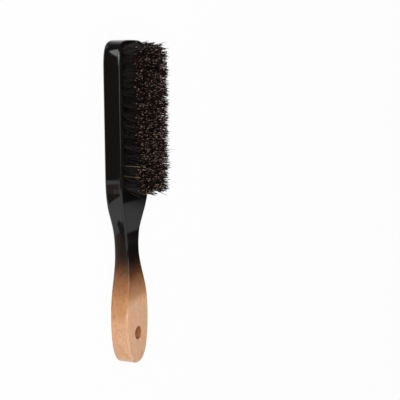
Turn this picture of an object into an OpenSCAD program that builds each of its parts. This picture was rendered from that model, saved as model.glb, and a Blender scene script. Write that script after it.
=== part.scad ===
// Fade brush: a one-piece beech block and handle, bored for bristle tufts that flat wire anchors hold.
// The brush lies on its back. +X runs from the handle to the head, +Y across it, and +Z is the way the
// bristles point. The origin is on the back face, under the middle of the whole brush.

/* [Block] */
// Length of the wood, from the handle's end to the head's end
block_length = 215; // [200:1:235]
// Radius of the rounded edges of both faces
edge_radius = 1.6; // [0.8:0.1:2.4]

/* [Head] */
// Width of the head
head_width = 38; // [36:0.5:42]
// Thickness of the head
head_thickness = 12.5; // [11:0.5:15]
// Length of the head's rounded end
head_arch = 19.5; // [16:0.5:21]
// From the shoulder, where the head is at full width, to the head's end
head_length = 89.5; // [86:0.5:92]
// From the head's end back to where its face is level, short of the first tufts
level_length = 102.5; // [99:0.5:106]
// Length of the ramp by which the face rises from the neck to the level
ramp_length = 24.5; // [18:0.5:30]

/* [Neck] */
// Width of the neck at its narrowest
neck_width = 16; // [12:0.5:20]
// Thickness of the neck at its thinnest
neck_thickness = 10.4; // [9:0.1:12]
// From the handle's end to the narrowest place
neck_at = 75; // [68:0.5:80]
// From the narrowest place to where the face stops dipping, which is nearer the head
neck_dip_shift = 7.5; // [0:0.5:12]

/* [Handle] */
// Width of the handle's belly
handle_width = 29.4; // [25:0.2:34]
// Thickness of the handle
handle_thickness = 13.2; // [11:0.1:15]
// From the handle's end to the widest place of its belly
belly_at = 33.5; // [30:0.5:40]
// From the widest place to where the face starts to dip towards the neck
belly_dip_shift = 13; // [4:0.5:16]
// Diameter of the hole that the brush hangs by
hang_hole_d = 8.8; // [6:0.1:10]
// From the handle's end to the middle of that hole
hang_hole_at = 20.6; // [16:0.1:26]

/* [Tufts] */
// Height of the brush over the bristle tips, from the back
brush_height = 28; // [24:0.5:34]
// Ranks of tufts along the head
tuft_ranks = 14; // [8:1:14]
// Tufts across a full rank, an odd number
tuft_rows = 5; // [3:2:5]
// Pitch of the ranks along the head
rank_pitch = 6.6; // [6.4:0.05:6.7]
// Pitch of the tufts across a rank
row_pitch = 6.6; // [6.2:0.05:6.8]
// From the head's end to the middle of the last rank
last_rank_at = 7.5; // [7:0.1:9]
// Diameter of a tuft hole
tuft_hole_d = 3.5; // [3:0.1:4]
// Depth of a tuft hole
tuft_hole_depth = 7; // [6:0.1:8.5]
// Diameter of a tuft at its tips, where the hairs have spread
tuft_tip_d = 6.2; // [4.5:0.1:6.4]
// How far the outermost tufts' tips lean outwards across the brush
side_lean = 4.8; // [2:0.1:5.5]
// How far the tips in the middle of the first and last ranks lean out along the brush
end_lean = 2.4; // [1:0.1:4]

/* [Anchors] */
// Thickness of the flat anchor wire
anchor_thickness = 0.4; // [0.3:0.05:0.6]
// Height of the anchor wire
anchor_height = 1.6; // [1.2:0.1:2.2]
// How far an anchor bites into the wood on each side of its hole
anchor_bite = 0.45; // [0.2:0.05:0.6]
// Bristle under the anchor, where the hairs are folded round it
fold_thickness = 1.2; // [0.6:0.1:1.6]

/* [Hidden] */

// Running room between a tuft and its hole or anchor
tuft_clearance = 0.05;
// Height of the upright stub between the face and the leaning part of a tuft
tuft_stub = 0.6;
// How much narrower the leaning part starts than the stub, and how deep its foot is buried in the stub
tuft_shoulder = 0.2;
tuft_buried = 0.5;
// Steepness with which the lean along the brush grows towards the end ranks
end_lean_power = 5;
// Share of that lean that the corner tufts lack
corner_square = 0.9;

// Share of the face's ramp that its rounded foot takes up, and its rounded crest too
ramp_ease = 0.12;

// Handle lengths of the outline's curves, as shares of their stretch
handle_end_fullness = 0.86;
handle_end_reach = 0.51;
belly_pull = 0.4;
neck_pull_back = 0.33;
neck_pull_on = 0.505;
shoulder_pull = 0.56;
arch_reach = 0.98;
arch_fullness = 0.77;

// Segments in each stretch of the outline, and in the quarter round of an edge
end_segments = 12;
belly_segments = 12;
shoulder_segments = 24;
edge_segments = 3;

hole_segments = 32;

origin_x = block_length / 2;
shoulder_at = block_length - head_length;
arch_at = block_length - head_arch;
face_low_at = neck_at + neck_dip_shift;
face_high_at = belly_at + belly_dip_shift;
face_level_at = block_length - level_length;
ramp_foot_at = max(face_low_at, face_level_at - ramp_length);
outer_row = (tuft_rows - 1) / 2 * row_pitch;
hole_floor = head_thickness - tuft_hole_depth;
tuft_root_r = tuft_hole_d / 2 - tuft_clearance;
root_z = hole_floor + tuft_clearance;
anchor_z = root_z + fold_thickness;
anchor_length = tuft_hole_d + 2 * anchor_bite;

// A point of the cubic curve through a and d, drawn towards b and c
function curve_point(a, b, c, d, t) =
    pow(1 - t, 3) * a + 3 * pow(1 - t, 2) * t * b + 3 * (1 - t) * t * t * c + t * t * t * d;

// The curve's points, without its first
function curve(a, b, c, d, segments) = [for (i = [1 : segments]) curve_point(a, b, c, d, i / segments)];

// Half of the outline, seen from the bristle side, from the handle's end to the head's end, as [x, y]
function half_outline() =
    let (
        belly_y = handle_width / 2,
        neck_y = neck_width / 2,
        head_y = head_width / 2,
        to_neck = neck_at - belly_at,
        to_shoulder = shoulder_at - neck_at,
        handle_end = curve(
            [0, 0],
            [0, handle_end_fullness * belly_y],
            [belly_at * (1 - handle_end_reach), belly_y],
            [belly_at, belly_y],
            end_segments
        ),
        belly = curve(
            [belly_at, belly_y],
            [belly_at + belly_pull * to_neck, belly_y],
            [neck_at - neck_pull_back * to_neck, neck_y],
            [neck_at, neck_y],
            belly_segments
        ),
        shoulder = curve(
            [neck_at, neck_y],
            [neck_at + neck_pull_on * to_shoulder, neck_y],
            [shoulder_at - shoulder_pull * to_shoulder, head_y],
            [shoulder_at, head_y],
            shoulder_segments
        ),
        head_end = curve(
            [arch_at, head_y],
            [arch_at + arch_reach * head_arch, head_y],
            [block_length, arch_fullness * head_y],
            [block_length, 0],
            end_segments
        )
    )
    concat([[0, 0]], handle_end, belly, shoulder, [[arch_at, head_y]], head_end);

// How much of the way from one place to another has been covered, from 0 to 1
function share(x, from, to) = min(1, max(0, (x - from) / (to - from)));

// A rise from 0 to 1 in one soft wave
function wave(t) = (1 - cos(180 * t)) / 2;

// A rise from 0 to 1 that is straight but for its rounded foot and crest
function ramp(t) =
    let (
        from_end = min(t, 1 - t),
        rise = from_end < ramp_ease
            ? pow(from_end, 2) / (2 * ramp_ease * (1 - ramp_ease))
            : (from_end - ramp_ease / 2) / (1 - ramp_ease)
    )
    t < 0.5 ? rise : 1 - rise;

// Height of the bristle-side face above the back at a place along the brush
function face_z(x) =
    x < face_low_at
        ? handle_thickness + (neck_thickness - handle_thickness) * wave(share(x, face_high_at, face_low_at))
        : neck_thickness + (head_thickness - neck_thickness) * ramp(share(x, ramp_foot_at, face_level_at));

// Outward direction of the outline at point i, square to the line through its neighbours
function outward(points, i) =
    let (
        before = points[max(0, i - 1)],
        after = points[min(len(points) - 1, i + 1)],
        ends = i == 0 || i == len(points) - 1,
        along = after - before,
        side = [-along[1], along[0]]
    )
    ends ? [i == 0 ? -1 : 1, 0] : side / norm(side);

// How far in, and how far from the nearer face, each ring of a rounded edge lies, from the face outwards
function edge_rings() = [
    for (i = [0 : edge_segments])
        let (angle = 90 * i / edge_segments) [edge_radius * (1 - sin(angle)), edge_radius * (1 - cos(angle))]
];

module handle_block() {
    half = half_outline();
    last = len(half) - 1;
    count = 2 * last;
    // The whole outline runs up the +Y half and back along the -Y half
    mirrored = [for (i = [0 : count - 1]) i <= last ? i : count - i];
    turn = [for (i = [0 : count - 1]) i <= last ? 1 : -1];
    rounding = edge_rings();
    rings = concat(
        [for (i = [0 : edge_segments]) [rounding[i][0], rounding[i][1], 0]],
        [for (i = [edge_segments : -1 : 0]) [rounding[i][0], rounding[i][1], 1]]
    );
    ring_count = len(rings);
    points = [
        for (ring = rings)
            for (i = [0 : count - 1])
                let (
                    k = mirrored[i],
                    p = half[k] - ring[0] * outward(half, k),
                    z = ring[2] == 0 ? ring[1] : face_z(half[k][0]) - ring[1]
                )
                [p[0] - origin_x, turn[i] * p[1], z]
    ];
    sides = [
        for (j = [0 : ring_count - 2])
            for (i = [0 : count - 1])
                let (next = (i + 1) % count)
                [j * count + i, (j + 1) * count + i, (j + 1) * count + next, j * count + next]
    ];
    top = (ring_count - 1) * count;
    back_strips = [
        for (i = [0 : last - 1])
            [i, i + 1, (count - i - 1) % count, (count - i) % count]
    ];
    face_strips = [for (strip = back_strips) [for (n = [3 : -1 : 0]) top + strip[n]]];
    color([0.10, 0.08, 0.07])
    difference() {
        polyhedron(points, concat(sides, back_strips, face_strips), convexity = 6);
        translate([hang_hole_at - origin_x, 0, -1])
            cylinder(h = handle_thickness + 2, d = hang_hole_d, $fn = hole_segments);
        for (k = [1 : tuft_ranks])
            for (y = tuft_places()) {
                translate([rank_x(k), y, hole_floor])
                    cylinder(h = tuft_hole_depth + 1, d = tuft_hole_d, $fn = hole_segments);
                anchor_at(k, y);
            }
    }
}

// Place of a rank along the brush; rank 1 is nearest the handle
function rank_x(k) = block_length - last_rank_at - (tuft_ranks - k) * rank_pitch - origin_x;

// Places of a rank's tufts across the brush
function tuft_places() = [-outer_row : row_pitch : outer_row];

// How far a tuft's tips lean across the brush, and along it, where the corner tufts hardly do
function lean_y(y) = side_lean * y / outer_row;
function lean_x(k, y) =
    let (
        from_middle = 2 * (k - 1) / (tuft_ranks - 1) - 1,
        towards_end = sign(from_middle) * pow(abs(from_middle), end_lean_power),
        off_corner = 1 - corner_square * pow(y / outer_row, 2)
    )
    end_lean * towards_end * off_corner;

// One tuft: the folded root in its hole, and the bundle above the face that leans and spreads to its tips
module tuft(k, y) {
    rise = brush_height - head_thickness - tuft_stub;
    lean = [lean_x(k, y), lean_y(y)];
    tilt = atan(norm(lean) / rise);
    bearing = atan2(lean[1], lean[0]);
    // Above the stub the bundle starts a little narrower, and its radius grows by this share of its length
    neck_r = tuft_root_r - tuft_shoulder;
    spread = (tuft_tip_d / 2 - neck_r) * cos(tilt) / rise;
    above = rise / cos(tilt) + tuft_tip_d;
    slot = [anchor_thickness + 2 * tuft_clearance, 2 * tuft_hole_d, anchor_height + 2 * tuft_clearance];
    translate([rank_x(k), y, 0])
    difference() {
        union() {
            translate([0, 0, root_z])
                cylinder(h = head_thickness + tuft_stub - root_z, r = tuft_root_r, $fn = hole_segments);
            translate([0, 0, head_thickness + tuft_stub])
                // The quarter turn keeps the cone's seam off the plane that it leans in
                rotate([0, tilt, bearing])
                    translate([0, 0, -tuft_buried])
                        rotate(90)
                        cylinder(
                            h = tuft_buried + above,
                            r1 = neck_r - spread * tuft_buried,
                            r2 = neck_r + spread * above,
                            $fn = hole_segments
                        );
        }
        // The tips are trimmed level
        translate([-brush_height, -brush_height, brush_height])
            cube([2 * brush_height, 2 * brush_height, 2 * tuft_tip_d]);
        // The anchor passes through the fold
        translate([-slot[0] / 2, -slot[1] / 2, anchor_z - tuft_clearance])
            cube(slot);
    }
}

// One anchor, at its place in the tuft hole at rank k and place y
module anchor_at(k, y) {
    translate([rank_x(k) - anchor_thickness / 2, y - anchor_length / 2, anchor_z])
        cube([anchor_thickness, anchor_length, anchor_height]);
}

module tuft_rank(k) {
    color([0.07, 0.05, 0.04])
    for (y = tuft_places())
        tuft(k, y);
}

module anchor_rank(k) {
    color([0.75, 0.74, 0.70])
    for (y = tuft_places())
        anchor_at(k, y);
}

handle_block();
for (k = [1 : tuft_ranks])
    tuft_rank(k);
for (k = [1 : tuft_ranks])
    anchor_rank(k);
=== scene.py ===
import math
import random

import bpy
from mathutils import Matrix, Vector


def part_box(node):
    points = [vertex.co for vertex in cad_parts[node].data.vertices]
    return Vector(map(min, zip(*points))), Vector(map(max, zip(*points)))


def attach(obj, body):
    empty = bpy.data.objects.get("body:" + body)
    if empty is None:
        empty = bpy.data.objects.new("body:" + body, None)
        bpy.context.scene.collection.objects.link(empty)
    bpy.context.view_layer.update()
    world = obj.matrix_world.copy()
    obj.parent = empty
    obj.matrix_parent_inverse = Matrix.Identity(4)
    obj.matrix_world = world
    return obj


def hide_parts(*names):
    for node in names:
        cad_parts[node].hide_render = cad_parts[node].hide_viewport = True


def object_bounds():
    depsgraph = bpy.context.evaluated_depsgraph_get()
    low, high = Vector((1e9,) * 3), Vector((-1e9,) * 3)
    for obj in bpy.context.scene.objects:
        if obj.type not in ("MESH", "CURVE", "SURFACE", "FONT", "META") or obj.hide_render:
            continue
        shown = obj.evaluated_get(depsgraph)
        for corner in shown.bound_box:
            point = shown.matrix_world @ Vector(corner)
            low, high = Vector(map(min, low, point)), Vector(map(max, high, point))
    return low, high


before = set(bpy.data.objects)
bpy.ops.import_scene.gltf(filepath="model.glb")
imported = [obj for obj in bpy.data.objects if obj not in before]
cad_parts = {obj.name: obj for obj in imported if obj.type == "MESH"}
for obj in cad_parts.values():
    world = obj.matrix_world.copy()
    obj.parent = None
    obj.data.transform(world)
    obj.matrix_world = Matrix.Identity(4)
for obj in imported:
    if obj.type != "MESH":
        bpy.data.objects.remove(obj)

cad_low, cad_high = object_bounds()
scene = bpy.context.scene
scene.view_settings.view_transform = "Standard"

# --------------------------------------------------------------------------------------------------
# The camera stands beside the brush and above it, a little towards the head, so that it sees the long
# side, the bristle face and the tips. It looks past the brush, which lies left of the middle of its view.
camera_lean = math.radians(65.289)
camera_turn = math.radians(7.912)
camera_roll = math.radians(-0.359)
camera_distance = 0.7017
looks_beside = 0.0478
looks_above = 0.0026
lens_mm = 95.32
sensor_mm = 36
nearest_seen = 0.01

block_low, block_high = (Vector(corner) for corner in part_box("handle_block"))
to_camera = Vector((
    math.sin(camera_turn),
    math.cos(camera_turn) * math.sin(camera_lean),
    math.cos(camera_turn) * math.cos(camera_lean),
))
level_right = Vector((0, -math.cos(camera_lean), math.sin(camera_lean)))
right = (
    math.cos(camera_roll) * level_right
    + math.sin(camera_roll) * to_camera.cross(level_right)
)
up = to_camera.cross(right)
looks_at = (block_low + block_high) / 2 + looks_beside * right + looks_above * up

camera = bpy.data.objects.new("camera", bpy.data.cameras.new("camera"))
scene.collection.objects.link(camera)
camera.matrix_world = Matrix((right, up, to_camera)).transposed().to_4x4()
camera.matrix_world.translation = looks_at + camera_distance * to_camera
camera.data.lens = lens_mm
camera.data.sensor_width = sensor_mm
camera.data.clip_start = nearest_seen
scene.camera = camera

# --------------------------------------------------------------------------------------------------
# The studio: a pale floor that the brush lies on, a white surround and two soft lamps. Cards stand round
# the brush and lie beside it, and only its gloss shows them: a black tent, a grey wall past the handle,
# dim ones beside the head and the neck, and a few bright ones for the glints.
floor_half = 4.0
floor_gap = 0.0002
floor_albedo = 0.85
floor_glow = 0.95
surround_light = 0.62
white = (1, 1, 1, 1)
warm = (1, 0.72, 0.6, 1)


class Value:
    """A socket; arithmetic on it adds Math nodes to its tree."""

    def __init__(self, recipe, socket):
        self.recipe = recipe
        self.socket = socket

    def beside(self, name):
        """Another output of the same node."""
        return Value(self.recipe, self.socket.node.outputs[name])

    def math(self, operation, *others):
        return self.recipe.maths(operation, self, *others)

    def within(self):
        return self.math("MAXIMUM", 0).math("MINIMUM", 1)

    def __add__(self, other):
        return self.recipe.maths("ADD", self, other)

    def __radd__(self, other):
        return self.recipe.maths("ADD", other, self)

    def __sub__(self, other):
        return self.recipe.maths("SUBTRACT", self, other)

    def __rsub__(self, other):
        return self.recipe.maths("SUBTRACT", other, self)

    def __mul__(self, other):
        return self.recipe.maths("MULTIPLY", self, other)

    def __rmul__(self, other):
        return self.recipe.maths("MULTIPLY", other, self)

    def __truediv__(self, other):
        return self.recipe.maths("DIVIDE", self, other)

    def __rtruediv__(self, other):
        return self.recipe.maths("DIVIDE", other, self)

    def __pow__(self, other):
        return self.recipe.maths("POWER", self, other)

    def __rpow__(self, other):
        return self.recipe.maths("POWER", other, self)


class Recipe:
    """A node tree that is written from its first node to its last."""

    def __init__(self, tree):
        self.tree = tree
        tree.nodes.clear()

    def add(self, kind, settings=None, inputs=None, output=0):
        """A node of a kind: its settings first, then the values or links of its sockets."""
        node = self.tree.nodes.new(kind)
        for name, setting in (settings or {}).items():
            if name == "stops":
                ramp = node.color_ramp
                while len(ramp.elements) < len(setting):
                    ramp.elements.new(1)
                for element, (place, colour) in zip(ramp.elements, setting):
                    element.position = place
                    element.color = (*colour, 1)
            else:
                setattr(node, name, setting)
        for name, value in (inputs or {}).items():
            if isinstance(value, Value):
                self.tree.links.new(value.socket, node.inputs[name])
            else:
                node.inputs[name].default_value = value
        return Value(self, node.outputs[output]) if len(node.outputs) else None

    def maths(self, operation, *inputs):
        return self.add("ShaderNodeMath", {"operation": operation}, dict(enumerate(inputs)))

    def vector_maths(self, operation, *inputs, output="Vector"):
        return self.add("ShaderNodeVectorMath", {"operation": operation}, dict(enumerate(inputs)), output)

    def blend(self, factor, one, other, how="MIX"):
        colour_one, colour_other, colour_out = 6, 7, 2
        sockets = {"Factor": factor, colour_one: one, colour_other: other}
        return self.add("ShaderNodeMix", {"data_type": "RGBA", "blend_type": how}, sockets, colour_out)

    def ramp(self, factor, stops):
        return self.add("ShaderNodeValToRGB", {"stops": stops}, {"Fac": factor})

    def place(self):
        return self.add("ShaderNodeTexCoord", output="Object")

    def part(self, vector, axis):
        return self.add("ShaderNodeSeparateXYZ", None, {"Vector": vector}, axis)

    def surface(self, shader, output="ShaderNodeOutputMaterial"):
        self.add(output, None, {"Surface": shader})

    def finish(self, sockets):
        """Ends a material's tree with the one shader that its looks feed."""
        self.surface(self.add("ShaderNodeBsdfPrincipled", None, sockets))


def new_material(name):
    material = bpy.data.materials.new(name)
    material.use_nodes = True
    return material, Recipe(material.node_tree)


def plain_mesh(name, points, faces):
    mesh = bpy.data.meshes.new(name)
    mesh.from_pydata(points, [], faces)
    mesh.validate()
    piece = bpy.data.objects.new(name, mesh)
    scene.collection.objects.link(piece)
    return piece


def looked_at(recipe):
    """1 for rays of the camera and for mirrored and transmitted ones, 0 for those that light things."""
    rays = ("Is Camera Ray", "Is Glossy Ray", "Is Transmission Ray")
    return sum(recipe.add("ShaderNodeLightPath", output=name) for name in rays).within()


floor_material, recipe = new_material("floor_white")
floor_colour = (floor_albedo, floor_albedo, floor_albedo, 1)
lit = recipe.add("ShaderNodeBsdfDiffuse", None, {"Color": floor_colour})
glow = recipe.add("ShaderNodeEmission", None, {"Color": white, "Strength": 1})
glowing = looked_at(recipe) * floor_glow
recipe.surface(recipe.add("ShaderNodeMixShader", None, {0: glowing, 1: lit, 2: glow}))
floor = plain_mesh(
    "floor",
    [(x * floor_half, y * floor_half, -floor_gap) for x, y in ((-1, -1), (1, -1), (1, 1), (-1, 1))],
    [(0, 1, 2, 3)],
)
floor.data.materials.append(floor_material)

scene.world = bpy.data.worlds.new("surround")
scene.world.use_nodes = True
recipe = Recipe(scene.world.node_tree)
shown = recipe.add("ShaderNodeBackground", None, {"Color": white, "Strength": 1})
lighting = recipe.add("ShaderNodeBackground", None, {"Color": white, "Strength": surround_light})
surround = recipe.add("ShaderNodeMixShader", None, {0: looked_at(recipe), 1: lighting, 2: shown})
recipe.surface(surround, "ShaderNodeOutputWorld")


def soft_lamp(name, place, aim, width, brightness):
    """A square lamp whose brightness is what a mirror would show of it, with 1 as white."""
    lamp = bpy.data.lights.new(name, "AREA")
    lamp.shape = "SQUARE"
    lamp.size = width
    lamp.energy = brightness * math.pi * width * width
    stand = bpy.data.objects.new(name, lamp)
    scene.collection.objects.link(stand)
    stand.location = place
    stand.rotation_euler = (Vector(aim) - Vector(place)).to_track_quat("-Z", "Y").to_euler()
    stand.visible_camera = False
    stand.visible_glossy = False


soft_lamp("key_lamp", place=(0.3, 0.52, 0.68), aim=(0.05, 0, 0), width=0.6, brightness=2.5)
soft_lamp("fill_lamp", place=(-0.1, 1.1, 0.35), aim=(0, 0, 0), width=1.1, brightness=1.0)


def card(name, corners, brightness, tint=white, faces=None, fade=None):
    """A flat card, or several joined, that only gloss shows. A fade dims it along an axis, from its full
    brightness at one place to a share of it at another."""
    material, recipe = new_material(name)
    colour = tint
    if fade:
        across = recipe.part(recipe.place(), fade["axis"])
        faded = ((across - fade["full_at"]) / (fade["dim_at"] - fade["full_at"])).within()
        colour = recipe.blend(faded, tint, (*(fade["share"] * part for part in tint[:3]), 1))
    recipe.surface(recipe.add("ShaderNodeEmission", None, {"Color": colour, "Strength": brightness}))
    piece = plain_mesh(name, corners, faces or [tuple(range(len(corners)))])
    piece.data.materials.append(material)
    piece.visible_camera = False
    piece.visible_diffuse = False
    piece.visible_shadow = False


def on_floor(*corners_mm, lift_mm=0.0):
    """Corners, in metres, of a card that lies on the floor, or on another card."""
    return [(x / 1000, y / 1000, lift_mm / 1000) for x, y in corners_mm]


# The tent: a back, a roof and a front that run along the brush, and a wall past its head. Its end past
# the handle is open. A grey wall stands at its back there, and a bent black board lengthens its upper back
# corner, which keeps the surround off the neck's edge.
tent_open, tent_end = -0.23, 1.2
tent_back, tent_front, tent_roof = -0.6, 0.9, 1.0
tent_edges = ((tent_back, 0), (tent_back, tent_roof), (tent_front, tent_roof), (tent_front, 0))
card(
    "black_tent",
    [(x, y, z) for x in (tent_open, tent_end) for y, z in tent_edges],
    brightness=0.0,
    faces=[(0, 1, 5, 4), (1, 2, 6, 5), (2, 3, 7, 6), (4, 5, 6, 7)],
)
grey_from, grey_to, grey_back = -0.151, -1.5, -0.599
card(
    "grey_wall",
    [
        (grey_from, grey_back, 0),
        (grey_to, grey_back, 0),
        (grey_to, grey_back, tent_roof),
        (grey_from, grey_back, tent_roof),
    ],
    brightness=0.345,
    fade=dict(axis="X", full_at=-0.164, dim_at=grey_from, share=0),
)
card(
    "neck_shade",
    [(x, y, z) for x in (-0.2, -0.45) for y, z in ((0.1, 0.98), (-0.58, 0.98), (-0.58, 0.4))],
    brightness=0.0,
    faces=[(0, 1, 4, 3), (1, 2, 5, 4)],
)

# The cards on the floor beside the head, its end, the shoulder and the neck
card(
    "side_card",
    on_floor((17.4, 19.5), (300, 19.5), (400, 900), (-90, 900), (8.5, 120), (15.3, 38)),
    brightness=0.03,
)
card(
    "end_card",
    on_floor((107.7, -120), (300, -120), (300, 19.5), (107.7, 19.5)),
    brightness=1,
    fade=dict(axis="Y", full_at=0.004, dim_at=0.019, share=0.04),
)
card(
    "shoulder_card_pale",
    on_floor((7.5, 20.5), (14.3, 20.5), (12.1, 38), (2.0, 38)),
    brightness=0.33,
    tint=warm,
)
card(
    "shoulder_card_dark",
    on_floor((-0.7, 20.5), (7.5, 20.5), (2.0, 38), (-0.7, 38)),
    brightness=0.08,
    tint=warm,
)
card(
    "shoulder_patch",
    on_floor((4.5, 29.5), (8.5, 29.5), (6.5, 38), (2.6, 38), lift_mm=0.1),
    brightness=0.6,
)
card(
    "neck_card",
    on_floor((-300, 16.3), (-23.5, 16.3), (-28.3, 20), (-36.5, 29), (-60, 120), (-300, 120)),
    brightness=0.3,
    tint=warm,
)
card(
    "neck_card_pale",
    on_floor((-300, 13), (-22.5, 13), (-23.5, 16.3), (-300, 16.3)),
    brightness=0.52,
    tint=warm,
)
card(
    "neck_card_palest",
    on_floor((-300, 10.5), (-22, 10.5), (-22.5, 13), (-300, 13)),
    brightness=0.8,
    tint=warm,
)
card(
    "neck_patch",
    on_floor(
        (-19.5, 16.2), (-19, 18.8), (-26.5, 21.3), (-35.5, 30.5),
        (-36.5, 28.8), (-28.3, 19.6), (-24.5, 17),
        lift_mm=0.1,
    ),
    brightness=0.06,
)
card(
    "end_reflector",
    on_floor((104.2, 24.3), (114.5, 31.5), (118, 45), (101.5, 43), lift_mm=0.1),
    brightness=3.7,
)

# The bright cards: a strip over the bristles, a window beside the head, and a small one for a spark
card(
    "strip_card",
    [(-0.12, 0.33, 0.8), (0.45, 0.33, 0.8), (0.45, 0.88, 0.8), (-0.12, 0.88, 0.8)],
    brightness=2.4,
    fade=dict(axis="X", full_at=0.05, dim_at=-0.1, share=0.2),
)
card(
    "window_card",
    [(0.12, 0.45, 0.02), (0.36, 0.45, 0.02), (0.36, 0.45, 0.31), (0.12, 0.45, 0.31)],
    brightness=7,
    fade=dict(axis="X", full_at=0.22, dim_at=0.12, share=0.2),
)
card(
    "spark_card",
    [(0.2, 0.3, 0.72), (0.3, 0.3, 0.72), (0.3, 0.45, 0.66), (0.2, 0.45, 0.66)],
    brightness=8,
)

# --------------------------------------------------------------------------------------------------
# The block: head, neck and handle in one piece of beech, routed to its outline, its edges rounded over
# and sanded, bored for the tufts and for hanging, then dipped in black lacquer that fades out over the
# handle.
head_thickness = 0.0125
head_arch = 0.0195
head_length = 0.0895
level_length = 0.1025
ramp_length = 0.0245
neck_width = 0.016
neck_thickness = 0.0104
neck_at = 0.075
neck_dip_shift = 0.0075
handle_width = 0.0294
belly_at = 0.0335
belly_dip_shift = 0.013
edge_radius = 0.0016
edge_steps = 8
hang_hole_r = 0.0044
hang_hole_at = 0.0206
hang_hole_rim = 0.0005
hang_hole_sides = 64
rim_steps = 5
tuft_hole_r = 0.00175
tuft_hole_depth = 0.007
tuft_hole_sides = 24
tuft_ranks = 14
tuft_rows = 5
tuft_pitch = 0.0066
last_rank_at = 0.0075
drill_past = 0.001
crease = math.radians(30)

block_length = block_high.x - block_low.x
head_half = block_high.y
handle_thickness = block_high.z
shoulder_at = block_length - head_length
arch_at = block_length - head_arch
face_low_at = neck_at + neck_dip_shift
face_high_at = belly_at + belly_dip_shift
face_level_at = block_length - level_length
ramp_foot_at = face_level_at - ramp_length
ramp_ease = 0.12

# How far each curve of the outline is drawn from one of its ends towards the other, as shares of its reach
end_full, end_pull = 0.86, 0.49
belly_pull, neck_pull_back = 0.4, 0.33
neck_pull_on, shoulder_pull = 0.505, 0.56
arch_pull, arch_full = 0.98, 0.77
end_steps, waist_steps, flare_steps, level_steps, arch_steps = 48, 40, 80, 14, 48


def curve(a, b, c, d, steps):
    """Points of the cubic curve from a to d that is drawn towards b and c, without its first."""
    points = []
    for step in range(1, steps + 1):
        t = step / steps
        shares = ((1 - t) ** 3, 3 * (1 - t) ** 2 * t, 3 * (1 - t) * t * t, t ** 3)
        points.append(tuple(sum(k * p[i] for k, p in zip(shares, (a, b, c, d))) for i in (0, 1)))
    return points


def half_outline():
    """The +Y half of the outline as (place along, half width), from the handle's end to the head's."""
    belly, neck = handle_width / 2, neck_width / 2
    to_neck = neck_at - belly_at
    to_shoulder = shoulder_at - neck_at
    return [
        (0, 0),
        *curve((0, 0), (0, end_full * belly), (end_pull * belly_at, belly), (belly_at, belly), end_steps),
        *curve(
            (belly_at, belly),
            (belly_at + belly_pull * to_neck, belly),
            (neck_at - neck_pull_back * to_neck, neck),
            (neck_at, neck),
            waist_steps,
        ),
        *curve(
            (neck_at, neck),
            (neck_at + neck_pull_on * to_shoulder, neck),
            (shoulder_at - shoulder_pull * to_shoulder, head_half),
            (shoulder_at, head_half),
            flare_steps,
        ),
        *(
            (shoulder_at + (arch_at - shoulder_at) * i / level_steps, head_half)
            for i in range(1, level_steps + 1)
        ),
        *curve(
            (arch_at, head_half),
            (arch_at + arch_pull * head_arch, head_half),
            (block_length, arch_full * head_half),
            (block_length, 0),
            arch_steps,
        ),
    ]


def covered(place, start, end):
    return min(1, max(0, (place - start) / (end - start)))


def face_height(place):
    """Height of the bristle face: level on the handle, a dip at the neck, a ramp, level on the head."""
    if place < face_low_at:
        wave = (1 - math.cos(math.pi * covered(place, face_high_at, face_low_at))) / 2
        return handle_thickness + (neck_thickness - handle_thickness) * wave
    share = covered(place, ramp_foot_at, face_level_at)
    from_end = min(share, 1 - share)
    if from_end < ramp_ease:
        rise = from_end ** 2 / (2 * ramp_ease * (1 - ramp_ease))
    else:
        rise = (from_end - ramp_ease / 2) / (1 - ramp_ease)
    rise = rise if share < 0.5 else 1 - rise
    return neck_thickness + (head_thickness - neck_thickness) * rise


def block_shape():
    """The block's whole skin: rings of the outline, drawn in towards both faces round the edges."""
    half = half_outline()
    last = len(half) - 1
    normals = []
    for i in range(last + 1):
        if i in (0, last):
            normals.append((-1 if i == 0 else 1, 0))
            continue
        along = (half[i + 1][0] - half[i - 1][0], half[i + 1][1] - half[i - 1][1])
        length = math.hypot(*along)
        normals.append((-along[1] / length, along[0] / length))
    around = [*range(last + 1), *range(last - 1, 0, -1)]
    count = len(around)
    quarter = [math.pi / 2 * i / edge_steps for i in range(edge_steps + 1)]
    rings = [(angle, False) for angle in quarter] + [(angle, True) for angle in reversed(quarter)]
    points = []
    for angle, on_face in rings:
        inset = edge_radius * (1 - math.sin(angle))
        depth = edge_radius * (1 - math.cos(angle))
        for i, k in enumerate(around):
            side = 1 if i <= last else -1
            x = half[k][0] - inset * normals[k][0]
            y = half[k][1] - inset * normals[k][1]
            z = face_height(half[k][0]) - depth if on_face else depth
            points.append((x + block_low.x, side * y, z))
    faces = []
    for j in range(len(rings) - 1):
        for i in range(count):
            after = (i + 1) % count
            faces.append((j * count + i, (j + 1) * count + i, (j + 1) * count + after, j * count + after))
    top = (len(rings) - 1) * count
    for i in range(last):
        strip = (i, i + 1, (count - i - 1) % count, (count - i) % count)
        faces.append(tuple(dict.fromkeys(strip)))
        faces.append(tuple(top + k for k in reversed(tuple(dict.fromkeys(strip)))))
    return points, faces


def lathe(profile, place, sides):
    """Points and faces of a closed turned form that stands at a place, from (radius, height) pairs."""
    points = []
    for radius, height in profile:
        for i in range(sides):
            turn = 2 * math.pi * i / sides
            x, y = place[0] + radius * math.cos(turn), place[1] + radius * math.sin(turn)
            points.append((x, y, height))
    faces = [tuple(range(sides - 1, -1, -1)), tuple(range(len(points) - sides, len(points)))]
    for j in range(len(profile) - 1):
        for i in range(sides):
            after = (i + 1) % sides
            faces.append((j * sides + i, j * sides + after, (j + 1) * sides + after, (j + 1) * sides + i))
    return points, faces


def rank_x(rank):
    return block_high.x - last_rank_at - (tuft_ranks - rank) * tuft_pitch


def row_y(row):
    return (row - (tuft_rows - 1) / 2) * tuft_pitch


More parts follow.
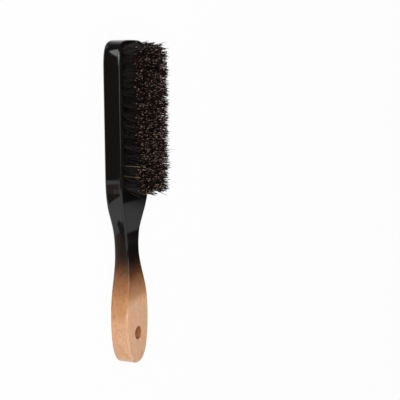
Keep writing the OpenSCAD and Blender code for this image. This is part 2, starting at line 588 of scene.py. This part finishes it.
def applied(piece):
    """The piece with its modifiers made into a plain mesh."""
    current = bpy.context.evaluated_depsgraph_get()
    mesh = bpy.data.meshes.new_from_object(
        piece.evaluated_get(current), preserve_all_data_layers=True, depsgraph=current
    )
    piece.modifiers.clear()
    piece.data = mesh
    return piece


block = plain_mesh("block", *block_shape())
rim = [math.pi / 2 * i / rim_steps for i in range(rim_steps + 1)]
low_rim = [
    (hang_hole_r + hang_hole_rim * (1 - math.sin(angle)), hang_hole_rim * (1 - math.cos(angle)))
    for angle in rim
]
flare = hang_hole_r + hang_hole_rim
hang_bore = [
    (flare, -drill_past),
    *low_rim,
    *((radius, handle_thickness - height) for radius, height in reversed(low_rim)),
    (flare, handle_thickness + drill_past),
]
tuft_bore = [(tuft_hole_r, head_thickness - tuft_hole_depth), (tuft_hole_r, head_thickness + drill_past)]
drills = [lathe(hang_bore, (block_low.x + hang_hole_at, 0), hang_hole_sides)]
for rank in range(1, tuft_ranks + 1):
    for row in range(tuft_rows):
        drills.append(lathe(tuft_bore, (rank_x(rank), row_y(row)), tuft_hole_sides))
points, faces = [], []
for drill_points, drill_faces in drills:
    faces += [tuple(len(points) + k for k in face) for face in drill_faces]
    points += drill_points
drill = plain_mesh("drill", points, faces)
cut = block.modifiers.new("bored", "BOOLEAN")
cut.operation = "DIFFERENCE"
cut.solver = "EXACT"
cut.object = drill
applied(block)
bpy.data.objects.remove(drill)
block.data.shade_smooth()
block.data.set_sharp_from_angle(angle=crease)
weighted = block.modifiers.new("weighted", "WEIGHTED_NORMAL")
weighted.keep_sharp = True
weighted.weight = 100
applied(block)

lacquer, recipe = new_material("lacquered_beech")
place = recipe.place()
along = recipe.part(place, "X") - block_low.x
upright = recipe.add("ShaderNodeTexCoord", output="Normal")
up_facing = recipe.part(upright, "Z")
on_side = 1 - up_facing.math("ABSOLUTE")


def stretched_noise(scale, detail=3.0):
    """Noise between 0 and 1 whose grain is this many times finer along x, y and z."""
    spread = recipe.vector_maths("MULTIPLY", place, scale)
    return recipe.add("ShaderNodeTexNoise", None, {"Vector": spread, "Scale": 1, "Detail": detail})


tone = stretched_noise((9, 60, 60))
streaks = stretched_noise((80, 480, 480))
grain = stretched_noise((60, 1500, 1500))
fleck_field = stretched_noise((330, 1500, 1500), 1.0)
haze = stretched_noise((40, 40, 40), 2.0)
ripple = stretched_noise((90, 220, 220), 2.0)

# The bare wood: pale beech with darker tones, streaks and grain, brown flecks, and a reddish hang hole
beech_light = (0.78, 0.455, 0.27, 1)
beech_dark = (0.64, 0.35, 0.19, 1)
tone_share, streak_share, grain_share, dark_share = 0.6, 1.3, 0.5, 0.82
fleck_brown = (0.36, 0.155, 0.07, 1)
fleck_from, fleck_sharpness, fleck_share = 0.56, 8, 0.5
hole_brown = (0.35, 0.1, 0.0, 1)
hole_margin, hole_sharpness, hole_share = 0.0002, 5000, 0.6
darker = (tone * tone_share + streaks * streak_share + grain * grain_share - dark_share).within()
wood = recipe.blend(darker, beech_light, beech_dark)
flecks = ((fleck_field - fleck_from) * fleck_sharpness).within()
wood = recipe.blend(flecks * fleck_share, wood, fleck_brown)
flat_place = recipe.vector_maths("MULTIPLY", place, (1, 1, 0))
hole_place = (block_low.x + hang_hole_at, 0, 0)
from_hole = recipe.vector_maths("DISTANCE", flat_place, hole_place, output="Value")
in_hole = ((hang_hole_r + hole_margin - from_hole) * hole_sharpness).within()
wood = recipe.blend(in_hole * hole_share, wood, hole_brown)

# The dip coat: it lets the wood through less and less towards the head, and reaches further down the
# handle on its sides than on its face. Places are counted in tenths of a metre from the handle's end.
place_10 = along * 10
side_lag, side_lag_fall = 0.042, 0.105
foot_lag, foot_lag_fall = 0.325, 0.75
lag = (side_lag - place_10 * side_lag_fall).math("MAXIMUM", foot_lag - place_10 * foot_lag_fall)
haze_blur, grain_blur = 0.06, 0.05
fade = recipe.ramp(
    place_10 + on_side * lag + (haze - 0.5) * haze_blur + (grain - 0.5) * grain_blur,
    [
        (0.35, (0.93, 0.89, 0.82)),
        (0.41, (0.82, 0.72, 0.58)),
        (0.459, (0.67, 0.56, 0.40)),
        (0.513, (0.51, 0.38, 0.26)),
        (0.566, (0.376, 0.285, 0.205)),
        (0.619, (0.147, 0.100, 0.062)),
        (0.66, (0.05, 0.03, 0.022)),
        (0.70, (0.01, 0.006, 0.003)),
        (0.75, (0.0, 0.0, 0.0)),
    ],
)
bare_to, bare_side_lag, bare_sharpness = 0.425, 0.105, 14
bare_haze_blur, bare_grain_blur = 0.08, 0.06
bare_edge = (
    bare_to - on_side * bare_side_lag - place_10
    + (haze - 0.5) * bare_haze_blur + (grain - 0.5) * bare_grain_blur
)
fade = recipe.blend((bare_edge * bare_sharpness + 0.5).within(), fade, white)
seen_through = recipe.blend(1, wood, fade, how="MULTIPLY")

# The lacquer's own black, painted a little greyer between the bundles to lift the shade that they cast on
# the face
black = (0.0064, 0.0058, 0.0055, 1)
shade_lifted_black = (0.016, 0.0145, 0.0135, 1)
bundles_from, bundles_to, bundles_sharpness = 0.119, 0.211, 300
level_from, level_sharpness = 0.9, 10
among_bundles = (
    ((along - bundles_from) * bundles_sharpness).within()
    * ((bundles_to - along) * bundles_sharpness).within()
    * ((up_facing - level_from) * level_sharpness).within()
)
film = recipe.blend(among_bundles, black, shade_lifted_black)
ripple_bump = {"Height": ripple, "Strength": 0.03, "Distance": 0.0004}
recipe.finish({
    "Base Color": recipe.blend(1, seen_through, film, how="ADD"),
    "Roughness": 0.09 + grain * 0.05,
    "Specular IOR Level": 0.45,
    "Normal": recipe.add("ShaderNodeBump", None, ripple_bump),
})
block.data.materials.clear()
block.data.materials.append(lacquer)
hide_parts("handle_block")
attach(block, "root")

# --------------------------------------------------------------------------------------------------
# The bristles: bundles of stiff dark boar hair, folded double in their holes. Each hair is a fine tapered
# rod that leaves its hole upright, bends outwards with its bundle and ends in a paler split tip, whose
# paleness is partly the split end and partly a painted glint of light.
hairs_per_tuft = 125
locks_per_tuft = 42
lock_spread = 0.00034
hair_r = 0.000165
hair_sides = 3
hair_steps = 6
tips_at = cad_high[2]
root_depth = 0.0008
root_spread = 0.0017
tip_spread = 0.0044
stray = 0.0030
wave_size = 0.0005
shortest = 0.92
dome = 0.05

# How the bundles lean: outwards across the head, towards both its ends, and a little unevenly by hand
side_lean = 0.0043
set_aside = 0.0006
toe_lean = 0.0009
end_lean = 0.0024
end_lean_power = 5
corner_square = 0.9
uneven_lean = 0.0007
outer_loose = 0.7


def bristle_tree():
    """Grows hairs from points that each carry the way that their bundle's tips lean."""
    tree = bpy.data.node_groups.new("bristles", "GeometryNodeTree")
    wanted = {
        "Bundles": "NodeSocketGeometry",
        "Hairs": "NodeSocketInt",
        "Locks": "NodeSocketInt",
        "Lock spread": "NodeSocketFloat",
        "Hair radius": "NodeSocketFloat",
        "Rise": "NodeSocketFloat",
        "Root spread": "NodeSocketFloat",
        "Tip spread": "NodeSocketFloat",
        "Stray": "NodeSocketFloat",
        "Shortest": "NodeSocketFloat",
        "Dome": "NodeSocketFloat",
        "Wave": "NodeSocketFloat",
        "Seed": "NodeSocketInt",
        "Material": "NodeSocketMaterial",
    }
    for name, kind in wanted.items():
        tree.interface.new_socket(name, in_out="INPUT", socket_type=kind)
    tree.interface.new_socket("Bristles", in_out="OUTPUT", socket_type="NodeSocketGeometry")
    recipe = Recipe(tree)

    def asked(name):
        return recipe.add("NodeGroupInput", output=name)

    def chance(draw, key=None, low=0, high=1):
        """A random number for each hair, or for each key; every draw gives its own."""
        float_low, float_high, float_out = 2, 3, 1
        inputs = {float_low: low, float_high: high, "Seed": asked("Seed") + draw}
        if key:
            inputs["ID"] = key
        return recipe.add("FunctionNodeRandomValue", None, inputs, float_out)

    def vector(x, y, z):
        return recipe.add("ShaderNodeCombineXYZ", None, {"X": x, "Y": y, "Z": z})

    def added(*vectors):
        total = vectors[0]
        for one in vectors[1:]:
            total = recipe.vector_maths("ADD", total, one)
        return total

    def times(one, number):
        return recipe.add("ShaderNodeVectorMath", {"operation": "SCALE"}, {0: one, "Scale": number})

    def keep(geometry, name, kind, value):
        inputs = {"Geometry": geometry, "Name": name, "Value": value}
        return recipe.add("GeometryNodeStoreNamedAttribute", {"data_type": kind}, inputs)

    def kept(name, kind="FLOAT"):
        return recipe.add("GeometryNodeInputNamedAttribute", {"data_type": kind}, {"Name": name})

    def round_about(draw, reach, key=None):
        """A vector of this reach that points any way across the head."""
        turn = chance(draw, key, high=2 * math.pi)
        return vector(turn.math("COSINE") * reach, turn.math("SINE") * reach, 0)

    def in_disc(draw, key=None, evenness=0.5):
        return round_about(draw, chance(draw + 1, key) ** evenness, key)

    # Each bundle's hairs are dealt out to its locks, whose hairs lie close together
    bundles = recipe.add("GeometryNodeMeshToPoints", None, {"Mesh": asked("Bundles")})
    bundles = keep(bundles, "bundle", "INT", recipe.add("GeometryNodeInputIndex"))
    copies = {"Geometry": bundles, "Amount": asked("Hairs")}
    starts = recipe.add("GeometryNodeDuplicateElements", {"domain": "POINT"}, copies)
    most_locks = 100
    lock_number = starts.beside("Duplicate Index").math("MODULO", asked("Locks"))
    starts = keep(starts, "lock", "INT", kept("bundle", "INT") * most_locks + lock_number)
    lock = kept("lock", "INT")
    loose = kept("loose")

    # Where a hair's root and tip are. A lock's distance from its bundle's core also rounds its height.
    lock_ray, hair_ray = in_disc(1, lock, 0.6), in_disc(3)
    from_core = chance(2, lock)
    wander = round_about(5, (chance(6) ** 3) * asked("Stray") * loose)
    here = recipe.add("GeometryNodeInputPosition")
    lock_share, hair_share = 0.6, 0.4
    from_middle = added(times(lock_ray, lock_share), times(hair_ray, hair_share))
    root = added(here, times(from_middle, asked("Root spread")))
    hair_uneven, lock_uneven = 0.55, 0.45
    uneven = (chance(7) ** 1.5) * hair_uneven + chance(8, lock) * lock_uneven
    domed = from_core * asked("Dome") * (loose * 2 - 1)
    height = asked("Rise") * (1 - uneven * (1 - asked("Shortest")) - domed)
    least_reach, loose_reach = 0.85, 0.45
    reach = asked("Tip spread") * ((chance(12, lock) ** 2) * loose * loose_reach + least_reach)
    fan = added(times(lock_ray, reach), times(hair_ray, asked("Lock spread")))
    fan = added(fan, kept("lean", "FLOAT_VECTOR"), wander)
    tip = added(here, fan, vector(0, 0, height))
    starts = keep(starts, "root", "FLOAT_VECTOR", root)
    starts = keep(starts, "tip", "FLOAT_VECTOR", tip)
    starts = keep(starts, "tone", "FLOAT", chance(9))
    starts = keep(starts, "streak", "FLOAT", chance(13, high=0.5) + chance(14, lock, high=0.5))
    starts = keep(starts, "bend", "FLOAT_VECTOR", times(in_disc(10), asked("Wave")))

    # The hair itself: a line from root to tip, upright at its foot, with a slight wave, swept into a rod
    line = recipe.add("GeometryNodeCurvePrimitiveLine", None, {"Start": (0, 0, 0), "End": (0, 0, 1)})
    line = recipe.add("GeometryNodeResampleCurve", None, {"Curve": line, "Count": hair_steps + 1})
    hairs = recipe.add("GeometryNodeInstanceOnPoints", None, {"Points": starts, "Instance": line})
    hairs = recipe.add("GeometryNodeRealizeInstances", None, {"Geometry": hairs})
    share = recipe.add("GeometryNodeSplineParameter", output="Factor")
    root, tip = kept("root", "FLOAT_VECTOR"), kept("tip", "FLOAT_VECTOR")
    sideways = share ** 0.6
    way = recipe.vector_maths("SUBTRACT", tip, root)
    curved = recipe.vector_maths("MULTIPLY", way, vector(sideways, sideways, share))
    swing = times(kept("bend", "FLOAT_VECTOR"), (share * 2 * math.pi).math("SINE") * share)
    path = {"Geometry": hairs, "Position": added(root, curved, swing)}
    hairs = recipe.add("GeometryNodeSetPosition", None, path)
    tip_taper, taper_power = 0.2, 6
    thick = asked("Hair radius") * (1 - (share ** taper_power) * tip_taper)
    hairs = keep(hairs, "along", "FLOAT", share)
    section = {"Resolution": hair_sides, "Radius": 1.0}
    section = recipe.add("GeometryNodeCurvePrimitiveCircle", None, section)
    rods = recipe.add(
        "GeometryNodeCurveToMesh",
        None,
        {"Curve": hairs, "Profile Curve": section, "Scale": thick, "Fill Caps": True},
    )
    rods = recipe.add("GeometryNodeSetShadeSmooth", None, {"Geometry": rods, "Shade Smooth": True})
    rods = recipe.add("GeometryNodeRealizeInstances", None, {"Geometry": rods})
    rods = recipe.add("GeometryNodeSetMaterial", None, {"Geometry": rods, "Material": asked("Material")})
    recipe.add("NodeGroupOutput", None, {"Bristles": rods})
    return tree


bristle_group = bristle_tree()


def grown(name, bundles, inputs):
    """Hair grown from bundles, given as (x, y, lean along, lean across, looseness)."""
    piece = plain_mesh(name, [(x, y, head_thickness - root_depth) for x, y, *_ in bundles], [])
    lean = piece.data.attributes.new("lean", "FLOAT_VECTOR", "POINT")
    for item, (_, _, lean_x, lean_y, _) in zip(lean.data, bundles):
        item.vector = (lean_x, lean_y, 0)
    loose = piece.data.attributes.new("loose", "FLOAT", "POINT")
    for item, (*_, looseness) in zip(loose.data, bundles):
        item.value = looseness
    modifier = piece.modifiers.new("bristles", "NODES")
    modifier.node_group = bristle_group
    for socket in bristle_group.interface.items_tree:
        if socket.name in inputs:
            modifier[socket.identifier] = inputs[socket.name]
    applied(piece)
    for spare in ("root", "tip", "bend", "lean", "loose"):
        layer = piece.data.attributes.get(spare)
        if layer:
            piece.data.attributes.remove(layer)
    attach(piece, "root")
    return piece


def hair_value(recipe, name):
    """What the hair carries under this name: its place along the hair, or one of its random numbers."""
    return recipe.add("ShaderNodeAttribute", {"attribute_name": name}, None, "Fac")


bristle_dark, recipe = new_material("boar_bristle")
along, tone, streak = (hair_value(recipe, name) for name in ("along", "tone", "streak"))
shaft_black = (0.006, 0.005, 0.0047, 1)
shaft_brown = (0.036, 0.0295, 0.0275, 1)
# Painted light: the hairs are lighter at their feet, to lift the shade that the bundles cast on them there
shade_lifted_foot = (0.03, 0.026, 0.0245, 1)
# Painted shade: the upper shafts, just below the tips, are darker, against the light that falls on them
# from above
painted_upper_shade = (0.011, 0.0065, 0.0045, 1)
brown_from, brown_sharpness = 0.2, 1.6
foot_sharpness = 2.2
neck_from, neck_sharpness = 0.72, 5
tip_from, tip_sharpness = 0.95, 50
shaft = recipe.blend(((streak - brown_from) * brown_sharpness).within(), shaft_black, shaft_brown)
shaft = recipe.blend((along * foot_sharpness).within(), shade_lifted_foot, shaft)
shaft = recipe.blend(((along - neck_from) * neck_sharpness).within(), shaft, painted_upper_shade)
# Partly a painted highlight: the tips are split ends, and are painted paler still to stand in for their
# glints
tip_colour_and_glint = recipe.ramp(
    tone,
    [
        (0.50, (0.014, 0.0075, 0.0055)),
        (0.76, (0.045, 0.0215, 0.0155)),
        (0.88, (0.21, 0.13, 0.1)),
        (0.95, (0.73, 0.59, 0.51)),
    ],
)
in_tip = ((along - tip_from) * tip_sharpness).within()
recipe.finish({
    "Base Color": recipe.blend(in_tip, shaft, tip_colour_and_glint),
    "Roughness": 0.35 + tone * 0.2,
    "Specular IOR Level": 0.35,
})

bristle_inputs = {
    "Hairs": hairs_per_tuft,
    "Locks": locks_per_tuft,
    "Lock spread": lock_spread,
    "Hair radius": hair_r,
    "Rise": tips_at - head_thickness + root_depth,
    "Root spread": root_spread,
    "Tip spread": tip_spread,
    "Stray": stray,
    "Shortest": shortest,
    "Dome": dome,
    "Wave": wave_size,
    "Material": bristle_dark,
}
for rank in range(1, tuft_ranks + 1):
    from_middle = 2 * (rank - 1) / (tuft_ranks - 1) - 1
    towards_end = math.copysign(abs(from_middle) ** end_lean_power, from_middle)
    bundles = []
    dice = random.Random(rank)
    for row in range(tuft_rows):
        share = row_y(row) / row_y(tuft_rows - 1)
        lean_x = end_lean * towards_end * (1 - corner_square * share ** 2) - toe_lean * (1 - share)
        lean_y = side_lean * share - set_aside
        hand_x, hand_y = (uneven_lean * dice.uniform(-1, 1) for _ in range(2))
        looseness = 1 + outer_loose * share ** 4
        bundles.append((rank_x(rank), row_y(row), lean_x + hand_x, lean_y + hand_y, looseness))
    tufts = grown(f"bristles_rank_{rank}", bundles, bristle_inputs | {"Seed": 100 * rank})
    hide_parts(f"tuft_rank_{rank}")

# --------------------------------------------------------------------------------------------------
# A few fair hairs: boar hair is never all dark, and some pale ones lie across the outer bundles of one
# side, loose from their neighbours.
fair_ranks = (2, 3)
fair_out = 0.0019
fair_lean = 0.0027
fair_foot = (0.16, 0.105, 0.055, 1)
fair_tip = (0.44, 0.33, 0.21, 1)
fair_hair, recipe = new_material("fair_bristle")
along = hair_value(recipe, "along")
recipe.finish({
    "Base Color": recipe.blend(along, fair_foot, fair_tip),
    "Roughness": 0.35 + along * 0.1,
})
fair_y = row_y(tuft_rows - 1) + fair_out
bundles = [(rank_x(rank), fair_y, 0, side_lean + fair_lean, 1) for rank in fair_ranks]
fair_inputs = {
    "Hairs": 1,
    "Locks": 1,
    "Tip spread": tip_spread * 0.2,
    "Root spread": 0.0003,
    "Stray": 0.001,
    "Seed": 7,
    "Material": fair_hair,
}
grown("fair_hairs", bundles, bristle_inputs | fair_inputs)

# --------------------------------------------------------------------------------------------------
# The anchors: short pieces of drawn flat steel wire, driven through the fold of each bundle. They stay as
# they are built, deep in the wood, and get the fine lengthwise draw marks of the wire.
steel_dark = (0.42, 0.41, 0.39, 1)
steel_light = (0.6, 0.59, 0.57, 1)
mark_fineness = (9000, 300, 9000)
wire, recipe = new_material("flat_wire")
spread = recipe.vector_maths("MULTIPLY", recipe.place(), mark_fineness)
marks = recipe.add("ShaderNodeTexNoise", None, {"Vector": spread, "Scale": 1, "Detail": 2})
recipe.finish({
    "Base Color": recipe.blend(marks, steel_dark, steel_light),
    "Metallic": 1.0,
    "Roughness": 0.25 + marks * 0.2,
})
for rank in range(1, tuft_ranks + 1):
    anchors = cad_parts[f"anchor_rank_{rank}"]
    anchors.data.materials.clear()
    anchors.data.materials.append(wire)
